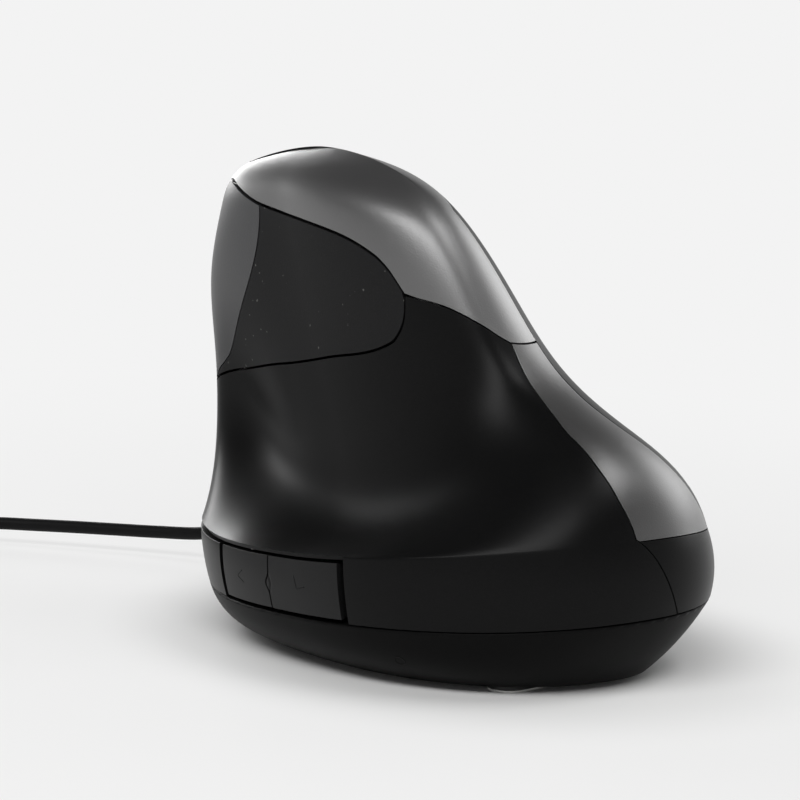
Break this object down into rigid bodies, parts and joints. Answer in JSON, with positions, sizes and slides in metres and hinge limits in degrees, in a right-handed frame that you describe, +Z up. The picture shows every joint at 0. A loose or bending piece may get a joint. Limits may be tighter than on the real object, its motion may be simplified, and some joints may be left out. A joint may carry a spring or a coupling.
{
  "type": "vertical ergonomic mouse",
  "caption": "Right-handed upright pointing mouse with a thumb scoop and flared skirt, hinged click buttons, scroll wheel, thumb buttons and a coiled cable with plug.",
  "frame": {"origin": "on the desk surface under the body, on the glide ring round the optical sensor", "axes": "+Z up, +Y toward the nose where the cable leaves, -X the thumb side, +X the finger side"},
  "size_m": [0.1133, 0.2083, 0.0832],
  "materials": {
    "shell_plastic": "satin black moulded grain",
    "cap_plastic": "satin charcoal moulded grain",
    "palm_plastic": "satin black moulded grain",
    "panel_plastic": "matte black",
    "button_plastic": "satin black",
    "thumb_button_plastic": "satin black",
    "dpi_plastic": "satin grey",
    "inner_plastic": "matte",
    "hub_plastic": "satin",
    "tyre_rubber": "matte ribbed",
    "plunger_plastic": "gloss",
    "switch_plastic": "matte",
    "encoder_plastic": "matte",
    "steel": "bright",
    "board": "solder mask",
    "chip": "matte",
    "lens": "clear",
    "led": "clear red",
    "socket_plastic": "ivory",
    "ribbon": "satin",
    "glide": "smooth",
    "cable_jacket": "satin black",
    "tie_plastic": "matte",
    "plug_plastic": "satin black",
    "plug_steel": "nickel",
    "plug_tongue": "white"
  },
  "bodies": {
    "chassis": {"thumb_shell": "shell_plastic", "finger_shell": "shell_plastic", "base_tray": "shell_plastic", "top_cover": "cap_plastic", "nose_bezel": "cap_plastic", "wheel_strip": "cap_plastic", "palm_cover": "palm_plastic", "thumb_panel": "panel_plastic", "mech_frame": "inner_plastic", "thumb_bracket": "inner_plastic", "left_switch": "switch_plastic", "right_switch": "switch_plastic", "wheel_switch": "switch_plastic", "dpi_switch": "switch_plastic", "forward_switch": "switch_plastic", "back_switch": "switch_plastic", "wheel_encoder": "encoder_plastic", "left_pivot": "steel", "right_pivot": "steel", "base_screws": "steel", "board_screws": "steel", "button_board": "board", "thumb_board": "board", "main_board": "board", "optical_sensor": "chip", "controller_chip": "chip", "sensor_lens": "lens", "sensor_led": "led", "cable_socket": "socket_plastic", "board_ribbon": "ribbon", "front_foot": "glide", "rear_foot": "glide", "sensor_foot": "glide", "cable_gland": "cable_jacket", "cable": "cable_jacket", "cable_coil": "cable_jacket", "cable_tie": "tie_plastic", "usb_plug": "plug_plastic", "usb_shell": "plug_steel", "usb_tongue": "plug_tongue"},
    "left_click_body": {"left_button": "button_plastic", "left_lever": "inner_plastic", "left_plunger": "plunger_plastic"},
    "right_click_body": {"right_button": "button_plastic", "right_lever": "inner_plastic", "right_plunger": "plunger_plastic"},
    "wheel_carrier_body": {"wheel_carrier": "inner_plastic"},
    "wheel_body": {"wheel_axle": "steel", "wheel_hub": "hub_plastic", "wheel_tyre": "tyre_rubber"},
    "dpi_body": {"dpi_button": "dpi_plastic"},
    "forward_body": {"forward_button": "thumb_button_plastic", "forward_post": "inner_plastic"},
    "back_body": {"back_button": "thumb_button_plastic", "back_post": "inner_plastic"}
  },
  "joints": [
    {"name": "left_click", "type": "hinge", "parent": "chassis", "child": "left_click_body", "pos_m": [-0.00352, 0.00592, 0.06888], "axis": [-0.3746, 0, 0.9272], "range_deg": [0, 1.2], "stiffness_Nm_per_rad": 0.7},
    {"name": "right_click", "type": "hinge", "parent": "chassis", "child": "right_click_body", "pos_m": [0.00548, 0.00592, 0.04663], "axis": [-0.3746, 0, 0.9272], "range_deg": [0, 1.2], "stiffness_Nm_per_rad": 0.7},
    {"name": "wheel_press", "type": "slide", "parent": "chassis", "child": "wheel_carrier_body", "axis": [-0.9272, 0, -0.3746], "range_m": [0, 0.0006], "stiffness_N_per_m": 1600},
    {"name": "wheel_spin", "type": "hinge", "parent": "wheel_carrier_body", "child": "wheel_body", "pos_m": [0.00215, 0.02792, 0.05877], "axis": [0.3746, 0, -0.9272], "continuous": true},
    {"name": "dpi_press", "type": "slide", "parent": "chassis", "child": "dpi_body", "axis": [-0.869, 0.2235, -0.4415], "range_m": [0, 0.0004], "stiffness_N_per_m": 2500},
    {"name": "forward_press", "type": "slide", "parent": "chassis", "child": "forward_body", "axis": [1, 0, 0], "range_m": [0, 0.0006], "stiffness_N_per_m": 1300},
    {"name": "back_press", "type": "slide", "parent": "chassis", "child": "back_body", "axis": [1, 0, 0], "range_m": [0, 0.0006], "stiffness_N_per_m": 1300}
  ]
}
